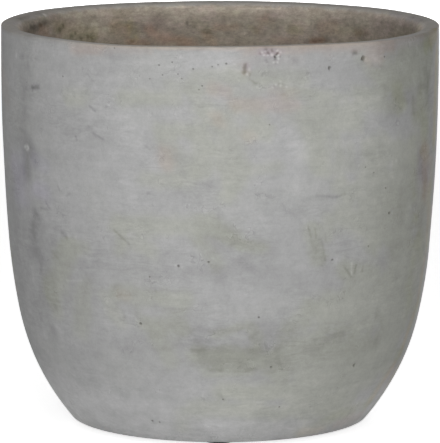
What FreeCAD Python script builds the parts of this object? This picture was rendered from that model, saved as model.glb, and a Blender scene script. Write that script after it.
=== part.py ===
import FreeCAD, Part
import Sketcher

import math
import os

# A cast fibre-cement flower pot with a rubber drain plug and stuck-on rubber foot pads.
# Millimetres. +Z is up, the pot's axis is the Z axis, and the pads stand on Z = 0.
# The front of the pot is towards -Y.

# Driving dimensions: name, value, what it measures
SIZES = [
    ("shell_height", 362.0, "cement shell, from its underside to its rim"),
    ("widest_diameter", 400.0, "outside of the shell where it is widest"),
    ("widest_drop", 28.0, "from the rim down to the widest point"),
    ("side_radius", 2150.0, "profile radius of the tall, nearly straight side"),
    ("belly_height", 165.0, "above the underside, where the side turns into the belly"),
    ("belly_radius", 540.0, "profile radius of the belly"),
    ("heel_height", 99.0, "above the underside, where the belly turns into the heel"),
    ("foot_diameter", 272.0, "outside of the shell at its underside, before rounding"),
    ("wall", 18.5, "thickness of the shell's side"),
    ("floor_thickness", 24.0, "thickness of the shell's floor"),
    ("rim_outer_round", 1.2, "rounding of the rim's outer edge"),
    ("rim_inner_round", 10.5, "rounding of the rim's inner edge"),
    ("foot_round", 3.0, "rounding of the underside's edge"),
    ("cavity_round", 22.0, "rounding between the inside wall and the floor"),
    ("drain_diameter", 30.0, "drain hole through the floor"),
    ("drain_chamfer", 1.5, "chamfer at both ends of the drain hole"),
    ("plug_clearance", 0.1, "gap all round between the plug's shank and the drain hole"),
    ("plug_taper", 1.8, "how much the plug's shank narrows, on the radius"),
    ("plug_recess", 2.0, "how far the plug's end stays up inside the drain hole"),
    ("plug_head_overlap", 9.0, "how far the plug's head reaches past the drain hole"),
    ("plug_head_thickness", 5.0, "plug's head"),
    ("plug_head_round", 1.6, "rounding of the plug head's upper edge"),
    ("tab_width", 20.0, "plug's pull tab, across"),
    ("tab_height", 18.0, "plug's pull tab, above the head"),
    ("tab_thickness", 6.0, "plug's pull tab, through"),
    ("tab_hole_diameter", 9.0, "finger hole in the pull tab"),
    ("tab_round", 1.0, "rounding of the pull tab's edges"),
    ("pad_diameter", 28.0, "foot pad"),
    ("pad_thickness", 3.0, "foot pad"),
    ("pad_round", 0.8, "rounding of the pad's lower edge"),
    ("pad_inset", 6.0, "from the rounding of the underside's edge in to the pad"),
]

# Foot pads by name, with the angle of each from +X
PADS = [
    ("foot_pad_front", -90.0),
    ("foot_pad_right", 0.0),
    ("foot_pad_back", 90.0),
    ("foot_pad_left", 180.0),
]

SAME_PLACE = 0.02

doc = FreeCAD.newDocument("flower_pot")
sheet = doc.addObject("Spreadsheet::Sheet", "sizes")


def fill_sheet():
    for row, (name, value, meaning) in enumerate(SIZES, start=1):
        sheet.set(f"A{row}", name)
        sheet.set(f"B{row}", str(value))
        sheet.set(f"C{row}", meaning)
        sheet.setAlias(f"B{row}", name)
    doc.recompute()


def size(name):
    return float(getattr(sheet, name))


def point(x, y):
    return FreeCAD.Vector(x, y, 0.0)


# Helpers for bodies, sketches and features

def new_body(label):
    body = doc.addObject("PartDesign::Body", label)
    body.Label = label
    return body


def new_sketch(body, name, role):
    plane = next(f for f in body.Origin.OriginFeatures if f.Role == role)
    sketch = body.newObject("Sketcher::SketchObject", name)
    sketch.AttachmentSupport = (plane, [""])
    sketch.MapMode = "FlatFace"
    return sketch


def spot(place):
    """A sketch's own numbers for a place: "origin", or an edge with "start", "end" or "centre"."""
    if place == "origin":
        return -1, 1
    edge, end = place
    return edge, ("whole", "start", "end", "centre").index(end)


def join(sketch, kind, first, second):
    sketch.addConstraint(Sketcher.Constraint(kind, *spot(first), *spot(second)))


def lay(sketch, direction, *lines):
    for line in lines:
        sketch.addConstraint(Sketcher.Constraint(direction, line))


def put_on_axis(sketch, *places):
    upright_axis = -2
    for place in places:
        sketch.addConstraint(Sketcher.Constraint("PointOnObject", *spot(place), upright_axis))


def name_dimension(sketch, number, name, expression):
    sketch.renameConstraint(number, name)
    sketch.setExpression(f"Constraints.{name}", expression)


def distance(sketch, name, expression, kind, first, second):
    """A named distance between two places, its value taken from the sheet."""
    value = float(sketch.evalExpression(expression))
    number = sketch.addConstraint(Sketcher.Constraint(kind, *spot(first), *spot(second), value))
    name_dimension(sketch, number, name, expression)


def bend_size(sketch, name, expression, kind, edge):
    """A named radius or diameter, its value taken from the sheet."""
    value = float(sketch.evalExpression(expression))
    number = sketch.addConstraint(Sketcher.Constraint(kind, edge, value))
    name_dimension(sketch, number, name, expression)


def revolve(body, sketch, name):
    turn = body.newObject("PartDesign::Revolution", name)
    turn.Profile = sketch
    turn.ReferenceAxis = (sketch, ["V_Axis"])
    turn.Angle = 360.0
    doc.recompute()
    return turn


def edges_of(feature, wanted):
    """Names of the feature's edges that pass the test on the edge and its middle point."""
    names = []
    for number, edge in enumerate(feature.Shape.Edges, start=1):
        middle = edge.valueAt((edge.FirstParameter + edge.LastParameter) / 2)
        if wanted(edge, middle):
            names.append(f"Edge{number}")
    if not names:
        raise RuntimeError(f"no such edge on {feature.Name}")
    return names


def ring(feature, radius, height):
    """Names of the feature's level circles about its axis at that radius and height."""

    def wanted(edge, middle):
        round_enough = abs(math.hypot(middle.x, middle.y) - radius) < SAME_PLACE
        level = all(abs(v.Z - height) < SAME_PLACE for v in edge.Vertexes)
        return round_enough and level and abs(middle.z - height) < SAME_PLACE

    return edges_of(feature, wanted)


def dress(body, kind, name, edges, expression):
    """A fillet or chamfer on edges of the body's last feature, its size tied to the sheet."""
    base = body.Tip
    feature = body.newObject(f"PartDesign::{kind}", name)
    feature.Base = (base, edges)
    feature.setExpression("Radius" if kind == "Fillet" else "Size", expression)
    doc.recompute()
    return feature


# Shell profile: the starting shape that its sketch then holds by constraints

class Bend:
    """One round stretch of the profile. Its radius is negative where it is hollow.

    A place on it is given by the wall's lean there: how far the wall, going down, turns inwards.
    """

    def __init__(self, start, lean, radius):
        self.radius = radius
        self.centre = point(start.x - radius * math.cos(lean), start.y + radius * math.sin(lean))
        self.low, self.high = ("start", "end") if radius > 0 else ("end", "start")

    def at(self, lean, inset=0.0):
        reach = self.radius - inset
        return self.centre + point(reach * math.cos(lean), -reach * math.sin(lean))

    def lean_at(self, height, inset=0.0):
        return math.asin((self.centre.y - height) / (self.radius - inset))

    def stretch(self, upper_lean, lower_lean, inset=0.0):
        """The sketch's arc between two leans: it starts at its low end, or at its high end if hollow."""
        circle = Part.Circle(self.centre, FreeCAD.Vector(0, 0, 1), abs(self.radius - inset))
        if self.radius > 0:
            return Part.ArcOfCircle(circle, -lower_lean, -upper_lean)
        return Part.ArcOfCircle(circle, math.pi - upper_lean, math.pi - lower_lean)


def closing_radius(start, lean, end):
    """Radius of the bend that leaves start at that lean and runs to end."""
    step = start - end
    return (step.x**2 + step.y**2) / (2 * (step.x * math.cos(lean) - step.y * math.sin(lean)))


def make_shell():
    underside = size("pad_thickness")
    rim = underside + size("shell_height")
    floor = underside + size("floor_thickness")
    wall = size("wall")
    foot = point(size("foot_diameter") / 2, underside)

    side = Bend(point(size("widest_diameter") / 2, rim - size("widest_drop")), 0.0, size("side_radius"))
    belly_lean = side.lean_at(underside + size("belly_height"))
    belly = Bend(side.at(belly_lean), belly_lean, size("belly_radius"))
    heel_lean = belly.lean_at(underside + size("heel_height"))
    heel_start = belly.at(heel_lean)
    heel = Bend(heel_start, heel_lean, closing_radius(heel_start, heel_lean, foot))

    rim_outside = side.at(side.lean_at(rim))
    rim_inside = side.at(side.lean_at(rim, wall), wall)
    floor_corner = heel.at(heel.lean_at(floor, wall), wall)

    body = new_body("pot_shell")
    sketch = new_sketch(body, "shell_profile", "XZ_Plane")
    outlines = [
        side.stretch(side.lean_at(rim), belly_lean),
        belly.stretch(belly_lean, heel_lean),
        heel.stretch(heel_lean, heel.lean_at(underside)),
        Part.LineSegment(foot, point(0, underside)),
        Part.LineSegment(point(0, underside), point(0, floor)),
        Part.LineSegment(point(0, floor), floor_corner),
        heel.stretch(heel_lean, heel.lean_at(floor, wall), wall),
        belly.stretch(belly_lean, heel_lean, wall),
        side.stretch(side.lean_at(rim, wall), belly_lean, wall),
        Part.LineSegment(rim_inside, rim_outside),
    ]
    sketch.addGeometry(outlines, False)
    out_side, out_belly, out_heel, under, axis, top_of_floor, in_heel, in_belly, in_side, top = range(10)

    join(sketch, "Tangent", (out_side, side.low), (out_belly, belly.high))
    join(sketch, "Tangent", (out_belly, belly.low), (out_heel, heel.high))
    join(sketch, "Coincident", (out_heel, heel.low), (under, "start"))
    join(sketch, "Coincident", (under, "end"), (axis, "start"))
    join(sketch, "Coincident", (axis, "end"), (top_of_floor, "start"))
    join(sketch, "Coincident", (top_of_floor, "end"), (in_heel, heel.low))
    join(sketch, "Tangent", (in_heel, heel.high), (in_belly, belly.low))
    join(sketch, "Tangent", (in_belly, belly.high), (in_side, side.low))
    join(sketch, "Coincident", (in_side, side.high), (top, "start"))
    join(sketch, "Coincident", (top, "end"), (out_side, side.high))
    join(sketch, "Coincident", (in_side, "centre"), (out_side, "centre"))
    join(sketch, "Coincident", (in_belly, "centre"), (out_belly, "centre"))
    join(sketch, "Coincident", (in_heel, "centre"), (out_heel, "centre"))
    lay(sketch, "Horizontal", under, top_of_floor, top)
    put_on_axis(sketch, (axis, "start"), (axis, "end"))

    base = (axis, "start")
    centre_size = "sizes.side_radius - sizes.widest_diameter / 2"
    distance(sketch, "stand", "sizes.pad_thickness", "DistanceY", "origin", base)
    distance(sketch, "floor", "sizes.floor_thickness", "DistanceY", base, (axis, "end"))
    distance(sketch, "height", "sizes.shell_height", "DistanceY", base, (top, "end"))
    distance(sketch, "belly", "sizes.belly_height", "DistanceY", base, (out_belly, belly.high))
    distance(sketch, "heel", "sizes.heel_height", "DistanceY", base, (out_heel, heel.high))
    distance(sketch, "foot", "sizes.foot_diameter / 2", "DistanceX", base, (under, "start"))
    distance(sketch, "drop", "sizes.widest_drop", "DistanceY", (out_side, "centre"), (top, "end"))
    distance(sketch, "widest", centre_size, "DistanceX", (out_side, "centre"), "origin")
    bend_size(sketch, "side_bend", "sizes.side_radius", "Radius", out_side)
    bend_size(sketch, "side_bend_inside", "sizes.side_radius - sizes.wall", "Radius", in_side)
    bend_size(sketch, "belly_bend", "sizes.belly_radius", "Radius", out_belly)
    casting = revolve(body, sketch, "casting")

    drain = new_sketch(body, "drain_outline", "XY_Plane")
    drain.addGeometry(Part.Circle(point(0, 0), FreeCAD.Vector(0, 0, 1), size("drain_diameter") / 2), False)
    join(drain, "Coincident", (0, "centre"), "origin")
    bend_size(drain, "drain", "sizes.drain_diameter", "Diameter", 0)
    hole = body.newObject("PartDesign::Pocket", "drain_hole")
    hole.Profile = drain
    hole.Type = "ThroughAll"
    hole.Reversed = True
    doc.recompute()
    if not hole.Shape.Volume < casting.Shape.Volume:
        raise RuntimeError("the drain hole cuts nothing")

    drain_radius = size("drain_diameter") / 2
    ends = ring(body.Tip, drain_radius, underside) + ring(body.Tip, drain_radius, floor)
    dress(body, "Chamfer", "drain_edges", ends, "sizes.drain_chamfer")
    dress(body, "Fillet", "cavity_corner", ring(body.Tip, floor_corner.x, floor), "sizes.cavity_round")
    dress(body, "Fillet", "rim_outer_edge", ring(body.Tip, rim_outside.x, rim), "sizes.rim_outer_round")
    dress(body, "Fillet", "rim_inner_edge", ring(body.Tip, rim_inside.x, rim), "sizes.rim_inner_round")
    dress(body, "Fillet", "foot_edge", ring(body.Tip, foot.x, underside), "sizes.foot_round")
    return body


def make_plug():
    """Rubber plug: its head lies on the floor inside the pot and its shank fills the drain hole."""
    end = size("pad_thickness") + size("plug_recess")
    seat = size("pad_thickness") + size("floor_thickness")
    top = seat + size("plug_head_thickness")
    neck = size("drain_diameter") / 2 - size("plug_clearance")
    tip = neck - size("plug_taper")
    head = size("drain_diameter") / 2 + size("plug_head_overlap")

    body = new_body("drain_plug")
    sketch = new_sketch(body, "plug_profile", "XZ_Plane")
    corners = [
        point(0, end),
        point(tip, end),
        point(neck, seat),
        point(head, seat),
        point(head, top),
        point(0, top),
    ]
    for here, there in zip(corners, corners[1:] + corners[:1]):
        sketch.addGeometry(Part.LineSegment(here, there), False)
    bottom, shank, shoulder, rim, face, axis = range(6)
    for line in range(6):
        join(sketch, "Coincident", (line, "end"), ((line + 1) % 6, "start"))
    lay(sketch, "Horizontal", bottom, shoulder, face)
    lay(sketch, "Vertical", rim, axis)
    put_on_axis(sketch, (axis, "end"))

    base = (axis, "end")
    end_size = "sizes.pad_thickness + sizes.plug_recess"
    length_size = "sizes.floor_thickness - sizes.plug_recess"
    neck_size = "sizes.drain_diameter / 2 - sizes.plug_clearance"
    head_size = "sizes.drain_diameter / 2 + sizes.plug_head_overlap"
    distance(sketch, "end", end_size, "DistanceY", "origin", base)
    distance(sketch, "length", length_size, "DistanceY", base, (shank, "end"))
    distance(sketch, "tip", f"{neck_size} - sizes.plug_taper", "DistanceX", base, (bottom, "end"))
    distance(sketch, "neck", neck_size, "DistanceX", base, (shank, "end"))
    distance(sketch, "head", head_size, "DistanceX", base, (shoulder, "end"))
    distance(sketch, "head_thickness", "sizes.plug_head_thickness", "DistanceY", (rim, "start"), (rim, "end"))
    revolve(body, sketch, "plug_moulding")
    dress(body, "Fillet", "plug_head_edge", ring(body.Tip, head, top), "sizes.plug_head_round")

    add_pull_tab(body, seat, top)
    return body


def add_pull_tab(body, seat, top):
    """Round-topped tab with a finger hole, standing on the plug's head and rooted inside it."""
    half = size("tab_width") / 2
    crown = top + size("tab_height") - half
    sketch = new_sketch(body, "tab_outline", "XZ_Plane")
    upright = FreeCAD.Vector(0, 0, 1)
    sketch.addGeometry(
        [
            Part.LineSegment(point(-half, seat), point(half, seat)),
            Part.LineSegment(point(half, seat), point(half, crown)),
            Part.ArcOfCircle(Part.Circle(point(0, crown), upright, half), 0, math.pi),
            Part.LineSegment(point(-half, crown), point(-half, seat)),
            Part.Circle(point(0, crown), upright, size("tab_hole_diameter") / 2),
        ],
        False,
    )
    root, right, round_top, left, hole = range(5)
    join(sketch, "Coincident", (root, "end"), (right, "start"))
    join(sketch, "Tangent", (right, "end"), (round_top, "start"))
    join(sketch, "Tangent", (round_top, "end"), (left, "start"))
    join(sketch, "Coincident", (left, "end"), (root, "start"))
    join(sketch, "Coincident", (hole, "centre"), (round_top, "centre"))
    lay(sketch, "Horizontal", root)
    lay(sketch, "Vertical", right, left)
    put_on_axis(sketch, (round_top, "centre"))

    root_size = "sizes.pad_thickness + sizes.floor_thickness"
    crown_size = "sizes.plug_head_thickness + sizes.tab_height - sizes.tab_width / 2"
    distance(sketch, "width", "sizes.tab_width", "DistanceX", (root, "start"), (root, "end"))
    distance(sketch, "root", root_size, "DistanceY", "origin", (root, "end"))
    distance(sketch, "crown", crown_size, "DistanceY", (root, "end"), (right, "end"))
    bend_size(sketch, "hole", "sizes.tab_hole_diameter", "Diameter", hole)
    tab = body.newObject("PartDesign::Pad", "pull_tab")
    tab.Profile = sketch
    tab.SideType = "Symmetric"
    tab.setExpression("Length", "sizes.tab_thickness")
    doc.recompute()

    face = size("tab_thickness") / 2

    def tab_outline(edge, middle):
        on_a_face = all(abs(abs(v.Y) - face) < SAME_PLACE for v in edge.Vertexes)
        return on_a_face and abs(abs(middle.y) - face) < SAME_PLACE and middle.z > top + SAME_PLACE

    dress(body, "Fillet", "tab_edges", edges_of(body.Tip, tab_outline), "sizes.tab_round")


def make_pad(label, angle):
    """One round rubber pad, stuck to the shell's underside."""
    body = new_body(label)
    sketch = new_sketch(body, f"{label}_outline", "XY_Plane")
    radius = size("pad_diameter") / 2
    sketch.addGeometry(Part.Circle(point(0, 0), FreeCAD.Vector(0, 0, 1), radius), False)
    join(sketch, "Coincident", (0, "centre"), "origin")
    bend_size(sketch, "pad", "sizes.pad_diameter", "Diameter", 0)
    disc = body.newObject("PartDesign::Pad", f"{label}_disc")
    disc.Profile = sketch
    disc.setExpression("Length", "sizes.pad_thickness")
    doc.recompute()
    dress(body, "Fillet", f"{label}_edge", ring(body.Tip, radius, 0.0), "sizes.pad_round")

    reach = "(sizes.foot_diameter / 2 - sizes.foot_round - sizes.pad_inset - sizes.pad_diameter / 2)"
    body.setExpression("Placement.Base.x", f"{reach} * cos({angle} deg)")
    body.setExpression("Placement.Base.y", f"{reach} * sin({angle} deg)")
    doc.recompute()
    return body


def check(parts):
    for item in doc.Objects:
        if "Invalid" in item.State or "Error" in item.State:
            raise RuntimeError(f"{item.Name} failed: {item.State}")
    for part in parts:
        if part.Shape.isNull() or not part.Shape.isValid() or len(part.Shape.Solids) != 1:
            raise RuntimeError(f"{part.Label} is not one sound solid")


def export(parts):
    os.makedirs("parts", exist_ok=True)
    for part in parts:
        part.Shape.exportStep(f"parts/{part.Label}.step")
        box = part.Shape.optimalBoundingBox()
        print(
            f"{part.Label}: {box.XLength:.1f} x {box.YLength:.1f} x {box.ZLength:.1f} mm,"
            f" Z {box.ZMin:.1f} to {box.ZMax:.1f}, {part.Shape.Volume / 1000:.1f} cm3"
        )


fill_sheet()
pieces = [make_shell(), make_plug()] + [make_pad(label, angle) for label, angle in PADS]
doc.recompute()
check(pieces)
export(pieces)
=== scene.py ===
from math import asin, cos, pi, radians, sin, tan

import bmesh
import bpy
import numpy as np
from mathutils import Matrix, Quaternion, Vector, kdtree, noise
from mathutils.bvhtree import BVHTree


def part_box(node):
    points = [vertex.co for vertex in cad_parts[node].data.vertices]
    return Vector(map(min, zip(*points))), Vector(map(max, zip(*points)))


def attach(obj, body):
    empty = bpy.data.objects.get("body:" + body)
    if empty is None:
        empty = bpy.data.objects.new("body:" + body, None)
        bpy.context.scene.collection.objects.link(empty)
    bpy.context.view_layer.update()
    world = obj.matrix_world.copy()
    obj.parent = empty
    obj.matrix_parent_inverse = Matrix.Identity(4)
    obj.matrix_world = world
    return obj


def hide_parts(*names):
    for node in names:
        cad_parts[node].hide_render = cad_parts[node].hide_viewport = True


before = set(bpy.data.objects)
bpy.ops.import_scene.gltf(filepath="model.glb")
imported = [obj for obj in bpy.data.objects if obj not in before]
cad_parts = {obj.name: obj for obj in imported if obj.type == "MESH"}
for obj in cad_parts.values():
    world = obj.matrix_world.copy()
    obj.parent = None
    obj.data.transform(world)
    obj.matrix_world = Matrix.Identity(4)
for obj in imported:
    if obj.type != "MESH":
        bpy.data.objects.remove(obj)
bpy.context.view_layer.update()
scene = bpy.context.scene
scene.view_settings.view_transform = "Standard"
print("frame loaded:", ", ".join(sorted(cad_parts)))


class Bench:  # sets nodes out in one tree and wires them
    def __init__(self, tree):
        self.tree = tree

    def add(self, kind, feeds=None, **settings):
        made = self.tree.nodes.new(kind)
        for name, value in settings.items():
            setattr(made, name, value)
        for name, value in (feeds or {}).items():
            self.feed(made.inputs[name], value)
        return made

    def feed(self, socket, value):
        if isinstance(value, bpy.types.NodeSocket):
            self.tree.links.new(value, socket)
        else:
            socket.default_value = value

    def calc(self, operation, *terms):
        return self.add("ShaderNodeMath", dict(enumerate(terms)), operation=operation).outputs[0]


def clearedTree(owner):  # of a material or a world
    owner.use_nodes = True
    owner.node_tree.nodes.clear()
    return owner.node_tree


class Finish(Bench):  # one surface finish, read in object coordinates
    def __init__(self, name):
        self.material = bpy.data.materials.new(name)
        super().__init__(clearedTree(self.material))
        self.place = self.add("ShaderNodeTexCoord").outputs["Object"]
        self.shader = self.add("ShaderNodeBsdfPrincipled")
        self.add("ShaderNodeOutputMaterial", {"Surface": self.shader.outputs["BSDF"]})

    def spread(self, value, low, high, toLow=0.0, toHigh=1.0):
        feeds = {"Value": value, "From Min": low, "From Max": high, "To Min": toLow, "To Max": toHigh}
        return self.add("ShaderNodeMapRange", feeds, interpolation_type="SMOOTHSTEP").outputs["Result"]

    def cloud(self, scale, detail, rough, shift=(0, 0, 0), stretch=(1, 1, 1), warp=0.0, span=None):
        feeds = {"Vector": self.place, "Location": shift, "Scale": stretch}
        place = self.add("ShaderNodeMapping", feeds).outputs["Vector"]
        feeds = {"Vector": place, "Scale": scale, "Detail": detail, "Roughness": rough, "Distortion": warp}
        value = self.add("ShaderNodeTexNoise", feeds).outputs["Fac"]
        return self.spread(value, *span) if span else value

    def centred(self, cloud):
        return self.calc("SUBTRACT", cloud, 0.5)

    def mix(self, share, first, second, blend="MIX"):
        feeds = {0: share, 6: first, 7: second}
        return self.add("ShaderNodeMix", feeds, data_type="RGBA", blend_type=blend).outputs[2]

    def own(self, name, output="Fac"):
        return self.add("ShaderNodeAttribute", attribute_name=name).outputs[output]

    def finish(self, look, colour, roughness, height):
        bump = self.add("ShaderNodeBump", {"Height": height, **look["relief"]}).outputs["Normal"]
        feeds = {"Base Color": colour, "Roughness": roughness, "Normal": bump}
        feeds["Specular IOR Level"] = look["specular"]
        for name, value in feeds.items():
            self.feed(self.shader.inputs[name], value)
        return self.material


def shade(red, green, blue):
    return (red, green, blue, 1.0)


def stand(name, data):  # a new object in the scene
    made = bpy.data.objects.new(name, data)
    scene.collection.objects.link(made)
    return made


# The camera, as the photograph was taken: a long lens a little above the rim
photo = {
    "width": 440,  # pixels
    "height": 443,
    "focal": 4296.4,  # pixels
    "sensor": 36.0,  # mm, along the picture's height
    "distance": 3.903,  # level, from the lens to the pot's axis
    "lensHeight": 0.7915,
    "aim": (0.00035, 0.0, 0.1818),  # what the middle of the picture looks at
    "roll": 0.0027,
    "clipEnd": 60,
}


def setCamera():
    eye = Vector((0, -photo["distance"], photo["lensHeight"]))
    turn = (Vector(photo["aim"]) - eye).to_track_quat("-Z", "Y")
    turn = turn @ Quaternion((0, 0, 1), photo["roll"])
    lens = bpy.data.cameras.new("photoLens")
    lens.sensor_fit = "VERTICAL"
    lens.sensor_height = photo["sensor"]
    lens.lens = photo["focal"] * photo["sensor"] / photo["height"]
    lens.clip_end = photo["clipEnd"]
    camera = stand("photoCamera", lens)
    camera.location = eye
    camera.rotation_euler = turn.to_euler()
    scene.camera = camera
    return eye, turn


def sightLine(x, y):  # from the lens through a pixel of the photograph
    across = (x - photo["width"] / 2) / photo["focal"]
    up = (photo["height"] / 2 - y) / photo["focal"]
    return (cameraTurn @ Vector((across, up, -1))).normalized()


eyePoint, cameraTurn = setCamera()
print("camera set")


# The cast shell, turned from one profile with the drawing's own sizes
shell = {
    "widest": 0.400,
    "widestDrop": 0.028,  # from the rim down to the widest place
    "sideRadius": 2.150,
    "bellyHeight": 0.165,  # above the underside
    "bellyRadius": 0.540,
    "heelHeight": 0.099,
    "foot": 0.272,
    "wall": 0.0185,
    "floor": 0.024,
    "rimOuterRound": 0.0012,
    "rimInnerRound": 0.0105,
    "footRound": 0.003,
    "cavityRound": 0.022,
    "drain": 0.030,
    "drainChamfer": 0.0015,
    "outerStep": 0.0034,  # height of a row of faces
    "innerStep": 0.0060,
    "flatStep": 0.020,
    "roundSteps": 8,
    "around": 288,
    "spindle": 0.010,  # radius that the profile is swept on
    "nudge": 0.0005,  # step that the wall's slope is read over
    "sharpAngle": 38,  # degrees
}
underside, rim = (corner.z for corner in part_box("pot_shell"))
floorTop = underside + shell["floor"]


def wallBends():  # centre, radius and lowest lean of each bend, from the rim down
    sideZ = rim - shell["widestDrop"]
    side = [shell["widest"] / 2 - shell["sideRadius"], sideZ, shell["sideRadius"]]
    bellyTop = asin((sideZ - underside - shell["bellyHeight"]) / shell["sideRadius"])
    belly = nextBend(side, bellyTop, shell["bellyRadius"])
    heelTop = asin((belly[1] - underside - shell["heelHeight"]) / shell["bellyRadius"])
    start = onBend(belly, heelTop)
    across = Vector((shell["foot"] / 2, underside)) - start
    inward = Vector((-cos(heelTop), sin(heelTop)))
    heel = nextBend(belly, heelTop, across.length_squared / (2 * across.dot(inward)))
    return [(*side, bellyTop), (*belly, heelTop), (*heel, pi / 2)]


def onBend(bend, lean):
    return Vector((bend[0] + bend[2] * cos(lean), bend[1] - bend[2] * sin(lean)))


def nextBend(bend, lean, radius):
    start = onBend(bend, lean)
    return [start.x - radius * cos(lean), start.y + radius * sin(lean), radius]


bends = wallBends()


def wallRadius(height, inset=0.0):
    height = np.asarray(height, float)
    found = np.zeros_like(height)
    for centre, middle, radius, lowest in reversed(bends):
        reach = radius - inset
        here = centre + np.sqrt(np.maximum(reach**2 - (middle - height) ** 2, 0))
        known = height >= middle - reach * sin(lowest)
        found = np.where(known, here, found)
    return found


def wallPoint(height, inset=0.0):
    return Vector((float(wallRadius(height, inset)), height))


def roundCorner(at, first, second, radius):  # first and second leave the corner along its sides
    first = first.normalized()
    second = second.normalized()
    half = first.angle(second) / 2
    middle = at + (first + second).normalized() * radius / sin(half)
    start = at + first * radius / tan(half) - middle
    end = at + second * radius / tan(half) - middle
    steps = shell["roundSteps"]
    return [middle + start.slerp(end, step / steps) * radius for step in range(steps + 1)]


def between(start, end, step):  # evenly spaced numbers, both ends left out
    count = max(1, round(abs(end - start) / step))
    return np.linspace(start, end, count + 1)[1:-1]


def shellProfile():
    nudge = shell["nudge"]
    wall = shell["wall"]
    level = Vector((1, 0))
    drain = shell["drain"] / 2
    chamfer = shell["drainChamfer"]
    outerRim, footEdge = wallPoint(rim), Vector((shell["foot"] / 2, underside))
    cavityEdge, innerRim = wallPoint(floorTop, wall), wallPoint(rim, wall)
    rimRound = roundCorner(outerRim, -level, wallPoint(rim - nudge) - outerRim, shell["rimOuterRound"])
    footRound = roundCorner(footEdge, wallPoint(underside + nudge) - footEdge, -level, shell["footRound"])
    upCavity = wallPoint(floorTop + nudge, wall) - cavityEdge
    cavityRound = roundCorner(cavityEdge, -level, upCavity, shell["cavityRound"])
    downInside = wallPoint(rim - nudge, wall) - innerRim
    lipRound = roundCorner(innerRim, downInside, level, shell["rimInnerRound"])
    points = list(rimRound)
    points += [wallPoint(z) for z in between(rimRound[-1].y, footRound[0].y, shell["outerStep"])]
    points += footRound
    points += [Vector((r, underside)) for r in between(footRound[-1].x, drain + chamfer, shell["flatStep"])]
    hole = [(drain + chamfer, underside), (drain, underside + chamfer)]
    hole += [(drain, floorTop - chamfer), (drain + chamfer, floorTop)]
    points += [Vector(corner) for corner in hole]
    points += [Vector((r, floorTop)) for r in between(drain + chamfer, cavityRound[0].x, shell["flatStep"])]
    points += cavityRound
    points += [wallPoint(z, wall) for z in between(cavityRound[-1].y, lipRound[0].y, shell["innerStep"])]
    points += lipRound
    points += [Vector((r, rim)) for r in between(lipRound[-1].x, rimRound[0].x, shell["outerStep"])]
    return points


def newTree(name, inputs):  # inputs: the kind and the value of each
    tree = bpy.data.node_groups.new(name, "GeometryNodeTree")
    tree.interface.new_socket("Geometry", in_out="INPUT", socket_type="NodeSocketGeometry")
    for label, (kind, value) in inputs.items():
        tree.interface.new_socket(label, in_out="INPUT", socket_type="NodeSocket" + kind)
    tree.interface.new_socket("Geometry", in_out="OUTPUT", socket_type="NodeSocketGeometry")
    bench = Bench(tree)
    return bench, bench.add("NodeGroupInput").outputs


def runTree(maker, bench, inputs, geometry, material=None):  # the result as a plain mesh
    real = bench.add("GeometryNodeRealizeInstances", {"Geometry": geometry}).outputs[0]
    dressed = bench.add("GeometryNodeSetMaterial", {"Geometry": real, "Material": material})
    bench.add("NodeGroupOutput", {"Geometry": dressed.outputs[0]})
    modifier = maker.modifiers.new(bench.tree.name, "NODES")
    modifier.node_group = bench.tree
    for socket in bench.tree.interface.items_tree:
        if socket.in_out == "INPUT" and socket.name in inputs:
            modifier[socket.identifier] = inputs[socket.name][1]
    bpy.context.view_layer.update()
    seen = maker.evaluated_get(bpy.context.evaluated_depsgraph_get())
    mesh = bpy.data.meshes.new_from_object(seen)
    maker.modifiers.remove(modifier)
    return mesh


def turnShell(material):
    points = shellProfile()
    spindle = shell["spindle"]
    line = bpy.data.meshes.new("shellProfile")
    places = [(point.x - spindle, -point.y, 0) for point in points]  # swept outward and down
    edges = [(index, (index + 1) % len(points)) for index in range(len(points))]
    line.from_pydata(places, edges, [])
    maker = stand("shellProfile", line)
    inputs = {
        "Around": ("Int", shell["around"]),
        "Spindle": ("Float", spindle),
        "Cement": ("Material", material),
    }
    bench, given = newTree("turnedShell", inputs)
    profile = bench.add("GeometryNodeMeshToCurve", {"Mesh": given["Geometry"]}).outputs["Curve"]
    circle = {"Resolution": given["Around"], "Radius": given["Spindle"]}
    sweep = bench.add("GeometryNodeCurvePrimitiveCircle", circle).outputs["Curve"]
    turned = bench.add("GeometryNodeCurveToMesh", {"Curve": sweep, "Profile Curve": profile})
    mesh = runTree(maker, bench, inputs, turned.outputs["Mesh"], given["Cement"])
    bpy.data.objects.remove(maker)
    return mesh


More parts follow.
